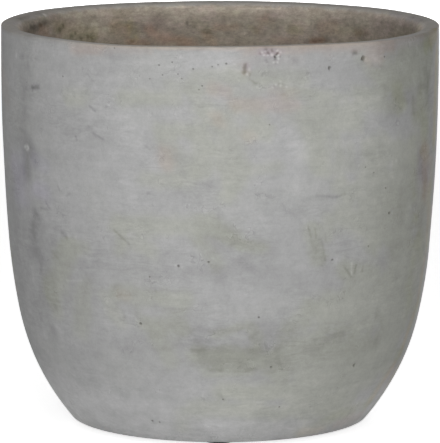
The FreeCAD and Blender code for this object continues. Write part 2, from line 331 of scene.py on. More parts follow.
# Pits that the casting left, those in the photograph by pixel, the rest scattered out of its view
pits = {
    "seed": 11,
    "closest": 0.030,  # between scattered pits
    "density": 120.0,  # most per square metre
    "clear": 0.030,  # from the rim and the underside
    "unseen": 1.35,  # scattered only beyond this angle from the front
    "radii": (0.0006, 0.0014),  # of the scattered ones
    "depth": 0.75,  # of the radius
    "bowl": (0.15, 1.15),  # shares of the radius that the bowl ends between
    "shadow": (0.35, 1.25),  # and its painted shade
    "ragged": 0.35,
    "seen": [  # x, y, radius across in pixels
        (363.7, 58.5, 2.8), (329.7, 67.8, 2), (384.7, 56.7, 1), (158.9, 65.2, 0.9), (172.1, 62.4, 0.9),
        (162.4, 75, 0.9), (177.8, 74.2, 1), (149.7, 78.8, 0.8), (181.8, 78.8, 0.8), (193.1, 68.9, 1),
        (212.1, 66.7, 0.9), (218.1, 64.8, 0.8), (226.2, 63.8, 1.3), (202.2, 85.9, 0.9), (198.9, 89.7, 0.8),
        (269.6, 124.7, 0.7), (62.7, 76.4, 0.9), (114.4, 48.1, 0.7), (389.5, 212.9, 1.3), (365.6, 167, 0.7),
        (374, 172.5, 0.7), (385.7, 188, 0.7), (368.5, 246.2, 0.9), (332.5, 259.8, 1.2), (178.5, 266, 1.4),
        (208.5, 262, 1.3), (149.5, 277, 1.1), (140.4, 323.7, 1.5), (258.8, 317.5, 1.3), (354, 365.5, 1.5),
        (70.5, 402.5, 1.2), (275.2, 57, 1.4), (223, 399.5, 0.9), (279.5, 407, 0.9), (271, 367, 1),
        (152.4, 421, 1), (159.5, 422.5, 1.1),
    ],
}


def scatterPits(carrier):
    inputs = {
        "Closest": ("Float", pits["closest"]),
        "Density": ("Float", pits["density"]),
        "Seed": ("Int", pits["seed"]),
        "Lowest": ("Float", underside + pits["clear"]),
        "Highest": ("Float", rim - pits["clear"]),
    }
    bench, given = newTree("airPits", inputs)
    spot = bench.add("GeometryNodeInputPosition").outputs[0]
    facing = bench.add("GeometryNodeInputNormal").outputs[0]
    flat = bench.add("ShaderNodeVectorMath", {0: spot, 1: (1, 1, 0)}, operation="MULTIPLY").outputs[0]
    out = bench.add("ShaderNodeVectorMath", {0: flat, 1: facing}, operation="DOT_PRODUCT").outputs["Value"]
    height = bench.add("ShaderNodeSeparateXYZ", {0: spot}).outputs["Z"]
    tests = [
        (out, 0.0, "GREATER_THAN"),
        (height, given["Lowest"], "GREATER_THAN"),
        (height, given["Highest"], "LESS_THAN"),
    ]
    allowed = True
    for value, limit, sense in tests:
        passed = bench.add("FunctionNodeCompare", {0: value, 1: limit}, operation=sense).outputs[0]
        allowed = bench.add("FunctionNodeBooleanMath", {0: allowed, 1: passed}).outputs[0]
    feeds = {
        "Mesh": given["Geometry"], "Selection": allowed, "Distance Min": given["Closest"],
        "Density Max": given["Density"], "Seed": given["Seed"],
    }
    spread = bench.add("GeometryNodeDistributePointsOnFaces", feeds, distribute_method="POISSON")
    points = bench.add("GeometryNodePointsToVertices", {"Points": spread.outputs["Points"]}).outputs[0]
    mesh = runTree(carrier, bench, inputs, points)
    places = [vertex.co.copy() for vertex in mesh.vertices]
    bpy.data.meshes.remove(mesh)
    return places


# Marks of trowel, brush and weather, and painted light and shade. A tint is what full strength adds to red,
# green and blue, as shares.
marks = {
    "fineHalves": (3.6, 2.3, 1.35),  # pixels; a narrower stroke has its faces halved once, twice, thrice
    "margins": (0.0038, 0.0020, 0.0008),  # how far round it, at each halving
    "spotStep": 0.003,  # between the places along it that are halved
    "stride": 14.0,  # pixels between the points of a stroke
    "slant": 0.35,  # least that a slanted view counts for
    "ragged": 0.45,  # how far an outline wanders
    "raggedHalf": 0.0045,  # a wider stroke wanders coarsely too
    "reach": 2.6,  # half widths that a stroke is laid over
    "edge": {"smudgeAndPaintedShade": 2.0, "paleFleckAndPaintedLight": 2.0},  # how sharp an outline is
    "edgeElse": 4.0,
    "tints": {
        "lichen": (-0.005, 0.008, -0.072),
        "rust": (0.043, -0.030, -0.060),
        "clay": (0.072, -0.021, -0.070),
        "slate": (0.002, -0.004, 0.045),
        "lilac": (0.002, -0.022, 0.032),
        "moss": (-0.004, 0.010, -0.130),
        # dark smudges, and painted shade
        "smudgeAndPaintedShade": (-1, -1, -1),
        # pale flecks, and painted light: highlights, glints and brightened edges
        "paleFleckAndPaintedLight": (1, 1, 1),
    },
}
# Strokes read off the photograph: the start's x and y, the run across and down and the half width
# in pixels, and the strength in hundredths
wallMarks = {}
wallMarks["lichen"] = [
    (68, 95, 18, 1, 7, 60), (70, 102, 12, 1, 5, 60), (122, 98, 54, 1, 7, 90), (195, 76, 105, 0, 7, 70),
    (192, 92, 8, 14, 8, 80), (160, 130, 40, 1, 8, 90), (200, 138, 4, 32, 11, 90), (166, 142, 20, 38, 10, 60),
    (148, 179, 24, 2, 8, 80), (222, 120, 14, 56, 15, 90), (236, 84, 24, 44, 13, 50),
    (242, 168, -14, 28, 8, 90), (256, 126, 12, 6, 8, 70), (256, 170, 22, -4, 7, 70),
    (306, 116, 48, 2, 14, 100), (356, 92, 24, 1, 6, 90), (312, 136, 4, 32, 8, 90), (338, 186, 14, 6, 8, 80),
    (370, 146, 26, 3, 8, 100), (336, 136, 6, 42, 6, 80), (376, 168, 0, 62, 18, 100),
    (404, 162, -6, 158, 18, 100), (424, 90, 2, 60, 8, 100), (388, 76, 40, -6, 12, 100),
    (397, 94, 5, 10, 7, 90), (342, 214, 16, 6, 13, 100), (312, 228, 6, 30, 8, 90), (345, 270, 31, 2, 8, 90),
    (352, 286, 32, 4, 11, 70), (326, 312, 74, -8, 16, 100), (296, 350, 92, 2, 15, 100),
    (306, 380, 60, -4, 18, 100), (302, 406, 44, 0, 12, 90), (196, 409, 88, 3, 9, 90),
    (222, 392, 54, 1, 9, 100), (280, 362, 2, 22, 7, 100), (182, 412, 0, 16, 6, 60),
    (200, 355, 64, 7, 11, 100), (208, 373, 38, -2, 5, 80), (216, 335, 24, -8, 5, 70),
    (250, 326, 8, 16, 7, 70), (290, 327, 18, -21, 8, 80), (356, 327, 14, 1, 6, 80), (166, 300, 19, 0, 9, 90),
    (146, 324, 34, 3, 9, 90), (158, 336, 12, 24, 9, 80), (116, 292, 34, 8, 8, 80), (170, 86, 44, 2, 7, 60),
    (256, 86, 44, 0, 6, 50), (104, 296, 16, 26, 7, 70), (68, 250, -14, 38, 10, 90), (48, 290, 10, 22, 7, 80),
    (66, 246, 18, 2, 7, 70), (84, 290, -4, 40, 9, 70), (118, 225, 76, 1, 9, 95), (120, 230, 0, 20, 6, 80),
    (128, 241, 24, 10, 7, 70), (362, 104, 36, 2, 6, 90), (208, 224, 24, 14, 10, 100),
    (204, 244, 12, 18, 8, 70), (242, 245, 20, 2, 6, 90), (404, 60, 24, -4, 9, 80), (324, 136, 4, 36, 6, 70),
    (350, 148, 0, 20, 6, 70), (327, 218, 1, 20, 6, 70), (292, 94, 54, 4, 6, 70), (362, 58, 10, 16, 7, 60),
]
wallMarks["rust"] = [
    (213, 88, 13, 4, 7, 100), (236, 104, 60, 1, 7, 100), (272, 92, 22, 0, 5, 50), (218, 118, 1, 3, 6, 90),
    (247, 136, 3, 1, 6, 60), (245, 66, 1, 6, 5, 70), (164, 152, 4, 13, 7, 100), (426, 152, 0, 38, 7, 100),
    (362, 414, -26, 11, 4, 90), (302, 432, 16, -1, 4, 80), (122, 295, 4, 2, 5, 50),
]
wallMarks["moss"] = [
    (437, 56, -3, 84, 6, 100), (424, 196, -4, 44, 11, 50), (430, 190, -2, 50, 6, 70),
    (418, 244, -6, 60, 9, 50), (425, 244, -7, 60, 5, 60), (416, 308, -14, 42, 6, 60),
    (400, 352, -30, 48, 6, 60), (366, 404, -66, 30, 6, 50), (416, 104, 8, 26, 8, 50),
    (398, 92, 6, 14, 6, 40), (426, 44, 10, -8, 5, 80), (414, 140, 2, 80, 6, 30), (433, 140, -2, 46, 4, 40),
]
wallMarks["clay"] = [
    (74, 49, 24, 1, 5, 100), (104, 49, 46, 1, 4, 50), (158, 48.6, 82, 1, 2, 60), (246, 50, 56, -1, 5, 80),
    (240, 60, 56, 0, 7, 15), (306, 47, 86, -1, 5, 90), (437.6, 36, -0.6, 28, 2, 100),
    (436, 50, -2, 90, 3, 80), (431, 160, -5, 90, 3, 60), (423, 152, 0, 28, 8, 30),
    (424, 262, -7, 42, 3, 100), (413, 316, -12, 36, 3, 100), (393, 366, -21, 32, 3, 100),
    (392, 44, 32, -8, 4, 30), (430, 38, 7, -4, 4, 60), (368, 58, 12, 0, 6, 80),
]
wallMarks["lilac"] = [
    (262, 52, 8, 1, 5, 100), (276, 50, 6, 2, 3, 60), (272, 85, 4, 2, 3, 50), (249, 66, 1, 2, 3, 60),
    (14, 168, 10, 24, 9, 60), (38, 190, 6, 6, 6, 70), (422, 150, 0, 30, 8, 30),
]
wallMarks["slate"] = [
    (19, 165, 0, 30, 9, 100), (34, 160, 10, 6, 6, 100), (36, 190, 10, 1, 7, 100),
]
# Pale flecks, and painted light: a lighter upper middle and a brightened heel and edges
wallMarks["paleFleckAndPaintedLight"] = [
    (100, 118, 36, 8, 12, 7), (120, 79, 14, -1, 8, 6), (268, 134, 18, 0, 9, 8), (306, 150, 12, 28, 10, 6),
    (342, 124, 10, 74, 14, 6), (370, 139, 22, 5, 8, 9), (226, 216, 20, 5, 9, 10), (64, 378, 26, 30, 11, 10),
    (100, 392, 26, 2, 9, 6), (196, 384, 46, 14, 12, 6), (214, 427, 104, 5, 8, 14), (110, 427, 54, 7, 6, 14),
    (266, 408, 18, 0, 7, 8), (306, 407, 50, 2, 9, 8), (186, 338, 8, 28, 7, 6), (206, 54, 24, 4, 13, 10),
    (346, 100, 24, 4, 13, 9), (352, 118, 16, 1, 8, 7), (286, 58, 8, 1, 4, 8), (118, 156, 14, 2, 6, 5),
    (224, 73, 12, 0, 5, 5), (298, 142, -2, 44, 11, 10), (130, 168, 8, 32, 16, 4), (110, 416, 120, 2, 17, 12),
    (70, 66, 8, 12, 5, 5), (74, 180, 18, 6, 5, 5), (140, 62, 96, 0, 7, 5), (84, 400, 72, 18, 10, 5),
    (226, 424, 14, 14, 7, 6), (16.3, 55.3, 0.3, 0.2, 1.2, 25), (25, 147, 1.2, -0.6, 0.9, 40),
    (27.6, 146, 1, 1.4, 0.9, 40), (27, 149.6, 1.2, -0.6, 0.9, 35), (247, 74, 0.3, 0.8, 1.1, 34),
    (262, 52.4, 0.4, 0.2, 1.1, 34), (263.6, 55.2, 0.4, 0, 0.9, 40), (267.7, 55.2, 0.5, 0, 0.9, 44),
    (271.7, 54.4, 0.3, 0.6, 1.1, 44), (265.2, 51.2, 0.4, 0.2, 0.9, 26), (277, 51, 0.8, -0.8, 0.9, 34),
    (280.4, 52.2, 0.4, 0.2, 1, 30), (278.4, 55.4, 0.3, -0.2, 0.9, 46), (275.8, 56.3, 0.6, -0.1, 0.8, 40),
    (278.4, 58.4, 0.2, 0.6, 0.9, 42), (277.4, 62.4, 0.4, -0.1, 0.9, 32), (273.7, 62.4, 0.5, 0, 0.9, 30),
    (264.4, 63.1, 0.6, 0, 0.9, 16), (280.4, 81.4, 0.6, 0, 0.9, 22), (275.8, 84.7, 0.4, 0.1, 0.9, 20),
    (280.4, 85.4, 0.2, 0.6, 0.9, 30), (286.2, 86.6, 0.3, 0.3, 0.9, 24), (272.6, 87.2, 0.3, 0.2, 0.9, 20),
    (239, 80.5, 0.2, 0.4, 1, 16), (256.8, 87, 0.3, 0.1, 0.9, 14), (249, 69.6, 0.6, 0.8, 1, 26),
    (273, 84, 15, 1, 3, 5), (377, 153.4, 0.3, 0.2, 1.2, 15), (396, 160.6, 0.3, 0.2, 1.2, 15),
    (33, 266, 1, 14, 2.5, 6), (67, 280.6, 15, 0, 0.9, 10), (84, 269.5, 11, 0, 0.9, 6),
    (175.6, 265.2, 0.2, 0.2, 1, 18), (181.6, 267, 0.2, 0.2, 1, 14), (212, 258.5, 1.5, -0.2, 1.2, 14),
    (337, 258.6, -1, 4.4, 0.9, 10), (351.4, 263, 0, 12, 0.9, 20), (45, 331, 1, 3, 3, 6),
    (144.6, 401, 0.4, 2, 2, 6), (212, 374, 38, -0.5, 1, 6), (273, 403, 5, 2.6, 1, 8),
    (236, 414.6, 1, 1.4, 2, 6), (391.8, 212.6, 0.2, 0.2, 1, 12), (296, 258, 24, 4, 1.5, 4),
]
# Dark smudges, and painted shade: along the left and right edges, at the right end of the rim and in a
# darker band low down
wallMarks["smudgeAndPaintedShade"] = [
    (24, 64, 0, 102, 9, 9), (14, 200, 8, 85, 9, 11), (62, 132, 28, 0, 7, 6), (80, 318, 10, 6, 9, 7),
    (120, 298, 4, 1, 8, 8), (100, 348, 18, 0, 8, 6), (412, 178, -8, 28, 9, 6), (386, 274, 4, 10, 10, 8),
    (322, 350, 28, 0, 9, 7), (246, 346, 22, -2, 8, 8), (48, 242, -4, 70, 11, 10), (60, 252, 58, 12, 13, 8),
    (150, 268, 66, 8, 12, 6), (156, 296, 44, 44, 16, 5), (62, 356, 26, 2, 8, 6), (222, 246, 46, 12, 13, 10),
    (216, 274, 74, 2, 10, 8), (160, 144, 30, 38, 10, 6), (222, 332, 68, -1, 9, 10), (418, 60, 2, 50, 6, 10),
    (418, 176, -14, 124, 6, 7), (30, 225, 6, 75, 10, 5), (156, 328, 30, 0, 8, 6), (394, 204, 6, 36, 12, 10),
    (328, 268, 56, -8, 12, 8), (410, 66, -2, 32, 9, 11), (362, 72, 18, 0, 7, 12), (216, 366, 24, 0, 8, 8),
    (80, 52, 42, 3, 6, 10), (130, 50, 70, 1, 3, 6), (248, 52, 52, 0, 5, 8), (384, 46, 44, -7, 6, 13),
    (424, 46, 13, -13, 6, 17), (431, 56, -4, 44, 5, 10), (426, 180, -8, 60, 5, 11), (98, 145, 10, 1, 6, 5),
    (362, 90, 22, 2, 6, 6), (366, 125, 16, 0, 6, 6), (240, 68, 36, 2, 9, 6), (300, 296, 40, -12, 12, 5),
    (340, 324, 44, 4, 10, 6), (394, 58, 2, 50, 11, 14), (34, 214, 0, 36, 8, 12), (206, 232, 22, 0, 11, 12),
    (320, 230, -2, 28, 8, 8), (60, 290, 30, 2, 15, 8), (130, 344, 52, 2, 13, 8), (204, 352, 68, 8, 14, 18),
    (290, 344, 80, 0, 13, 10), (274, 52, 2, 6, 9, 4), (312, 46, 14, 0, 4, 8), (354, 52.9, 2, 0, 1.8, 42),
    (32.5, 87.6, 5.5, -0.4, 1.7, 40), (24, 89, 9, -0.5, 1.6, 12), (23, 52, 0, 6, 1.3, 10),
    (28, 62, 0, 6, 1.3, 10), (38, 80.7, 6, 0, 1, 8), (89.5, 106, 5.5, 5, 1.1, 18),
    (93.3, 133.3, 9.7, 5.7, 1.1, 18), (88.8, 126.4, 0.4, 0.4, 1.4, 14), (75.6, 136, 1.2, 4, 0.9, 18),
    (22, 130, 6, 11, 5, 13), (27.8, 157, 0, 17, 5, 25), (32, 148, 2, 10, 4.5, 16),
    (245, 65, -0.4, 7, 1.7, 44), (250, 79, 6, 5, 1.3, 12), (260, 53, 0.5, 1, 1, 24),
    (268, 52.6, 0.4, 1, 1.3, 36), (265.4, 49.4, 1, 0.2, 1.1, 26), (271.7, 50, 0.5, 1, 1, 30),
    (276.2, 55, 1.4, -1.7, 1, 52), (275, 56.8, 0.2, 2.4, 1.2, 30), (280, 56.2, 0.3, 0.8, 0.9, 22),
    (266.8, 60.4, 0.2, 1.6, 1.3, 12), (275.2, 63.4, 0.8, 0.1, 0.9, 20), (288.7, 56.3, 0.3, 0.7, 1, 16),
    (278.6, 83.8, 0.3, 0.5, 1.1, 16), (273.7, 86.1, 0.5, 0.2, 1.1, 18), (282.6, 83.6, 0.4, 0.4, 1, 14),
    (249.4, 74, 0.8, 0.6, 1.2, 14), (254, 83.4, 4, -0.2, 1.3, 10), (295, 59.6, 1.8, 1, 2.6, 16),
    (413, 98, 0, 14, 2, 15), (425, 71, 3, 5, 3, 18), (420, 85.4, 7, 0.6, 2.5, 18),
    (420, 154, 0, 18, 3.5, 13), (424, 150, 0, 30, 6, 10), (380, 85, 16, 12, 3, 5), (398, 96, 10, 7, 2.5, 6),
    (46, 202, 4, 7, 1, 18), (41, 208, 6, 1, 0.9, 14), (35, 213, 5, 6, 2.4, 16), (33.5, 226, 0.3, 9, 2.6, 14),
    (61, 231, 6, 7, 1.8, 16), (24, 225, 0, 10, 2.5, 10), (38, 250, 4, 8, 4, 12), (114, 230, 15, 14, 1.1, 18),
    (66, 170, 3, 0, 1.2, 8), (58, 186, 1.4, 4, 0.9, 16), (66.6, 196, 3.4, -2.6, 0.9, 14),
    (146, 146, 4, 4, 0.9, 12), (161, 184.4, 2, 0.2, 1.3, 12), (148, 193, 1.6, 0, 1.3, 12),
    (177, 190, 18, 5, 2.5, 5), (201, 184, 4, 0, 3, 8), (218, 209, 1.4, 1, 2, 12), (219, 217, 7, 13, 4, 7),
    (236, 241, 34, 5, 5, 10), (272, 178, 1.4, 0, 2, 10), (256, 194, 18, 3, 1.5, 10),
    (282, 205, 17, 14, 3, 6), (142, 220, 9, 9, 4, 6), (317, 196, 18, 1, 1.5, 16),
    (337, 197, 8, -3.4, 1.2, 16), (308, 226, 3, 11, 1, 16), (315, 228, 1, 10, 0.9, 14),
    (325, 234, 1, 8, 0.9, 10), (311, 242, 5, 8, 2, 11), (322, 242, 3, 18, 1.2, 12), (24, 255, 3, 20, 3, 8),
    (41, 265, 0, 7, 1.5, 10), (86, 268, 8, 0, 1, 8), (102, 287, 0.5, 0.4, 1.5, 10),
    (118, 295, 16, 0.5, 1, 10), (124, 312, 1, 6, 1.5, 10), (51, 326.6, 2, 0.8, 2.5, 10),
    (54, 335, 2, 2, 4, 10), (152, 277, 8, 0, 1, 8), (155, 289, 0.6, 2, 1.5, 8), (216, 267.6, 1, 0.4, 3, 6),
    (251, 268, 2, 0, 4, 7), (235, 305, 0, 6, 2, 6), (198, 328, 2, 0.4, 4, 6), (250, 326, 7, -2, 2, 8),
    (225, 330, 30, -2, 1.3, 6), (195, 340, 15, 2, 3, 8), (192, 349, 11, 2, 2.5, 7), (155, 350, 15, -2, 2, 7),
    (250, 337, 8, -5, 3, 8), (345, 268, 6, 8, 1, 18), (354, 273, 2, -8, 1, 18), (363, 266, -1, 5, 1, 16),
    (378, 313, 4, 7, 3, 10), (375, 343, 2, 2, 3, 8), (340, 333, -15, 7, 3, 8), (127, 366, 3, 6, 2, 6),
    (114, 412, 1, 4, 1.2, 8), (140, 390, 7, 5, 2.5, 6), (152, 419.6, 2, 3.4, 1.5, 15),
    (157, 421, 6, 2, 2, 12), (188, 373, 2, 0, 3, 8), (210, 370, 12, 0, 1.6, 12), (246, 370, 9, -1, 1.8, 14),
    (279, 360, 1, 9, 1.6, 10), (219, 394, 5, 6, 1.3, 12), (260, 409, 15, -2, 0.9, 10),
    (336, 366, 1, 1, 3, 6), (343, 374, 0.4, 2, 3, 7), (321, 419, 0.6, 0.2, 1.3, 8), (372, 368, 5, 0, 1, 6),
]
insideMarks = {}
insideMarks["clay"] = [
    (150, 30, 38, 12, 4, 80), (40, 28, 7, 7, 3, 80), (312, 41, 10, -1, 4, 50), (128, 42, 20, 1, 3, 60),
    (158, 39, 34, 4, 4, 40), (204, 36, 8, 7, 4, 50), (258, 18, 14, 4, 4, 40), (216, 27, 22, -1, 4, 40),
]
insideMarks["moss"] = [
    (58, 25, 34, 10, 6, 45), (114, 24, 16, 0, 4, 50), (342, 33, 12, -1, 4, 15), (130, 30, 6, 10, 4, 40),
    (290, 31, 10, 0, 4, 40), (96, 34, 30, 6, 7, 35), (198, 38, 58, 4, 5, 22), (396, 36, 14, -3, 4, 40),
]
insideMarks["rust"] = [
    (113, 27, 13, 3, 5, 140), (148, 30, 8, 8, 5, 120), (128, 41, 18, 2, 3.5, 140),
    (160, 40, 34, 2.6, 4, 160), (212, 29, 24, -2, 3, 80), (266, 17, -8, 13, 4, 80), (272, 40, 24, 0, 3, 80),
    (321, 27, 14, 1, 5, 120), (312, 41.4, 10, -1.4, 3, 100), (42, 28, 5, 5, 4, 80), (356, 33, 10, -1, 3, 80),
    (206, 34, 8, 8, 4, 80),
]
insideMarks["slate"] = [
    (380, 25, 34, 1, 8, 100), (14, 24, 8, 2, 4, 50), (276, 13, 28, 2, 5, 80), (330, 13, 42, 4, 4, 60),
]
insideMarks["lichen"] = [
    (56, 28, 38, 9, 5, 100), (114, 13, 14, 0, 4, 80), (130, 24, 8, 10, 4, 100), (196, 24, 10, 6, 5, 70),
    (222, 14, 14, 0, 4, 60), (250, 27, 6, 4, 3, 100), (292, 30, 8, 1, 4, 100), (340, 34, 18, -1, 4, 60),
]
# Painted highlights: glints on the inner rim and at the left tip, and lighter patches
insideMarks["paleFleckAndPaintedLight"] = [
    (44.3, 15, 0.5, 0.2, 1.1, 80), (177, 7, 14, -0.1, 0.8, 40), (167, 7.6, 9, -0.5, 0.8, 30),
    (244, 8.1, 12, 0.3, 0.8, 25), (257, 8.6, 23, 0.3, 0.8, 45), (284, 36, 6, 1, 2, 15),
    (246, 36, 8, 1, 4, 14), (338, 34, 8, 0, 4, 14), (170, 16, 20, 2, 4, 12), (300, 34, 8, -6, 6, 12),
    (120, 38, 8, -1, 5, 10), (262, 9, 14, 0, 4, 10), (134, 10, 16, 0, 4, 10), (236, 36, 6, -2, 4, 8),
    (100, 24, 6, 2, 5, 8), (40, 30, 60, 6, 8, 28), (313, 22, 0, 8, 1.2, 10), (190, 12, 40, 0, 4, 10),
]
# Dark smudges, and painted shade at the left tip of the inside
insideMarks["smudgeAndPaintedShade"] = [
    (31, 27, 9, -1.6, 1.8, 50), (40, 25.4, 6, -3.8, 1.8, 48), (33, 29.4, 5, 1, 1, 30),
    (114, 23, 18, 2, 6, 17), (153, 23, 10, -4, 6, 13), (50, 21, 13, 11, 6, 13), (310, 29, 14, 1, 5, 7),
    (66, 12, 18, -2, 4, 10), (270, 20, 16, 22, 6, 13), (342, 25, 20, -2, 5, 18), (166, 36, 14, 5, 4, 12),
    (28, 26, 16, -2, 5, 16), (384, 24, 32, 2, 6, 8), (236, 22, 26, 2, 6, 7), (23, 26.8, 7, -0.4, 2, 12),
    (22, 20, 36, -3, 5, 28), (266, 14, 10, 10, 5, 22), (208, 28, 26, -4, 5, 15), (380, 20, 14, 1, 5, 16),
    (326, 18, 46, 0, 5, 10), (52, 17.6, 8, -0.4, 2, 15), (57, 30, 6, -4, 2.5, 22),
    (80, 27, 0.6, 0.6, 1.6, 25), (87, 27.6, 0.4, 0.6, 1.4, 25), (70, 34, 24, 5, 3.5, 20),
    (151, 18, 15, 0, 5, 12), (187, 22.4, 0, 1.6, 1.3, 55), (187, 28, 0.4, 0.6, 1.6, 20),
    (173, 29, 0.4, 0.4, 1.5, 20), (204, 31, 7, 4, 3, 6), (292, 29, 6, 3, 3.5, 15), (311, 20, 0.4, 6, 1, 15),
    (63, 25.6, 0.4, 0.8, 1.2, 50), (59, 30, 1.6, 1, 1.4, 40), (71, 35.4, 1.4, 1, 1.2, 40),
    (75, 32, 0.6, 1.4, 1, 40), (87, 35.4, 1, 1.6, 1, 40), (91, 37, 1.4, 1.4, 1.2, 40),
    (80, 38, 1.4, 0.6, 1, 40), (113, 26, 1, 2, 1.2, 14), (126, 23, 1, 2, 1.2, 12), (131, 41, 2, 1, 1.2, 30),
    (143, 26, 1.6, 1.6, 1.6, 24), (192, 31, 1.4, 2, 1.2, 12), (217, 38, 2, 1, 1.2, 10),
    (152, 29, 6, -7, 3.5, 12), (304, 42.4, 27, -2, 1.3, 30), (314, 40, 11, -1.4, 2.6, 26),
    (345, 22, 11, 3, 3, 15), (356, 33, 10, -1, 3, 34), (360, 39, 3, 0, 2, 22), (402, 26, 14, 0, 4.5, 30),
]
# More of the same on the sides and back: half widths in pixels, lengths in half widths
unseenMarks = {
    "seed": 5,
    "turn": 1.30,  # least angle from the front
    "clear": 0.020,  # of a stroke's middle from the rim and the underside
    "endClear": 0.012,  # of its ends
    "points": 4,
    "patches": {
        "count": 70, "half": (6, 17), "length": (0.5, 4.0), "lean": 0.35,
        "tints": ("lichen", "lichen", "lichen", "rust", "smudgeAndPaintedShade", "paleFleckAndPaintedLight"),
    },
    "specks": {
        "count": 90, "half": (0.9, 3.2), "length": (0.2, 6.0), "lean": 1.6,
        "tints": ("smudgeAndPaintedShade", "smudgeAndPaintedShade", "paleFleckAndPaintedLight"),
    },
    "strengths": {"lichen": (0.5, 1.0), "rust": (0.5, 1.0), "smudgeAndPaintedShade": (0.06, 0.16), "paleFleckAndPaintedLight": (0.06, 0.16)},
}


def spotAt(tree, x, y):  # the place that a pixel shows, and the pixel's size there
    sight = sightLine(x, y)
    place, normal, face, reach = tree.ray_cast(eyePoint, sight)
    if place is None:
        raise ValueError(f"pixel {x}, {y} is off the pot")
    return place, reach / photo["focal"] / max(marks["slant"], -normal.dot(sight)) ** 0.5


def seenStrokes(tree, lists):
    strokes = []
    for tint, rows in lists.items():
        for x, y, across, down, half, strength in rows:
            steps = max(1, round(np.hypot(across, down) / marks["stride"]))
            shares = np.linspace(0, 1, steps + 1)
            spots = [spotAt(tree, x + across * share, y + down * share) for share in shares]
            pixel = sum(size for place, size in spots) / len(spots)
            path = [place for place, size in spots]
            strokes.append((path, half * pixel, strength / 100, tint))
    return strokes


def unseenStrokes():
    draw = np.random.default_rng(unseenMarks["seed"])
    strokes = []
    for kind in ("patches", "specks"):
        strokes += [unseenStroke(draw, kind) for index in range(unseenMarks[kind]["count"])]
    return strokes


def unseenStroke(draw, kind):
    given = unseenMarks[kind]
    clear, endClear = unseenMarks["clear"], unseenMarks["endClear"]
    turn = draw.uniform(unseenMarks["turn"], 2 * pi - unseenMarks["turn"])
    height = draw.uniform(underside + clear, rim - clear)
    half = photo["distance"] / photo["focal"] * draw.uniform(*given["half"])
    length = half * draw.uniform(*given["length"])
    if kind == "patches":
        lean = draw.normal(0, given["lean"])
    else:
        lean = draw.uniform(-given["lean"], given["lean"])
    tint = given["tints"][draw.integers(len(given["tints"]))]
    strength = draw.uniform(*unseenMarks["strengths"][tint])
    path = []
    for share in np.linspace(-0.5, 0.5, unseenMarks["points"]):
        z = min(max(height + share * length * sin(lean), underside + endClear), rim - endClear)
        radius = float(wallRadius(z))
        angle = turn + share * length * cos(lean) / radius
        path.append(Vector((radius * sin(angle), -radius * cos(angle), z)))
    return path, half, strength, tint


def refineAround(mesh, spots):  # spots: place, radius and how many times to halve the faces there
    work = bmesh.new()
    work.from_mesh(mesh)
    for level, margin in enumerate(marks["margins"]):
        wanted = [spot for spot in spots if spot[2] > level]
        near = kdtree.KDTree(len(wanted))
        for index, spot in enumerate(wanted):
            near.insert(spot[0], index)
        near.balance()
        widest = max(spot[1] for spot in wanted)
        chosen = set()
        for face in work.faces:
            for place, index, gap in near.find_range(face.calc_center_median(), widest + margin):
                if gap < wanted[index][1] + margin:
                    chosen.update(face.edges)
                    break
        bmesh.ops.subdivide_edges(work, edges=list(chosen), cuts=1, use_grid_fill=True)
    work.to_mesh(mesh)
    work.free()


def softStep(value, low, high):
    share = np.clip((value - low) / (high - low), 0, 1)
    return share * share * (3 - 2 * share)


def wander(points, scale, seed):  # smooth noise at every point
    apart = (3.7, 1.3, 2.9)  # between the noises of two seeds
    shift = Vector([seed * step for step in apart])
    return np.array([noise.noise(Vector(point) * scale + shift) for point in points])


def putAttribute(mesh, name, values):
    if values.ndim == 1:
        made = mesh.attributes.new(name, "FLOAT", "POINT")
        made.data.foreach_set("value", values.astype(np.float32))
    else:
        made = mesh.attributes.new(name, "FLOAT_VECTOR", "POINT")
        made.data.foreach_set("vector", values.astype(np.float32).ravel())


# The surface of the shell: trowel waves, an uneven rim, pits, what the marks leave, a darker rim, and
# painted light on the low sides
surface = {
    "wave": 0.00030,  # height of the trowel's waves
    "waveScale": (9.0, 9.0, 22.0),  # waves per metre, shorter up the wall
    "waveSeed": 2,
    "edgeFade": 0.012,
    "footClear": 1.6,  # rounds that the waves keep off the foot
    "rimClear": 1.1,  # and off the rim
    "faceShare": 0.4,  # share of the wall's thickness that counts as its face
    "outerShare": 0.2,  # and as the outside
    "floorSlack": 0.004,
    "coarse": (70.0, 1),  # scale and seed of the raggedness of outlines
    "fine": (420.0, 4),
    "rimSway": 0.00035,
    "swayNoise": (3.0, 6),
    "rimLifts": [  # angle from the front, spread, height
        (-0.50, 0.20, -0.0006), (-0.05, 0.28, 0.0008), (0.33, 0.26, 0.0012),
        (-2.2, 0.40, 0.0005), (2.2, 0.40, 0.0005),
    ],
    "rimReach": 0.045,  # how far down the lifts fade out
    "rimBand": (0.0030, 0.0004),  # the darkening and wear begin and are full this far below the rim
    "rimDarkening": (-0.23, -0.27, -0.32),  # darker rim top at the back and sides
    "rimDarkeningTurn": (0.2, 1.0),  # cosines of the angles from the front that it ends between
    "rimWear": (0.035, -0.02, -0.09),  # at the front
    "wearTurn": (0.55, 0.95),
    "paintedLowLight": 0.66,  # painted light: how much paler the sides and back are painted near the underside
    "paintedLowLightHeight": (0.010, 0.074),  # full below the first, none above the second
    "paintedLowLightTurn": (0.62, 1.38),  # angles from the front that it begins and is full at
    "paintedSideLight": 0.64,  # painted light: how much paler the lower right side is painted
    "paintedSideLightHeight": (0.10, 0.24),
    "paintedSideLightStart": (1.24, 1.58),
    "paintedSideLightEnd": (2.2, 3.1),
    "paintedLightRagged": 0.4,
    "brown": (0.0, 0.0065),  # begins and is full this far below the rim
    "brownRagged": (0.4, 0.3),  # coarse and fine
    "roundShare": 0.22,  # how much of the way in over the rim counts as a way down
    "paleBand": 0.40,  # how much paler the inside is below the rim
    "paleEnd": 0.030,
}


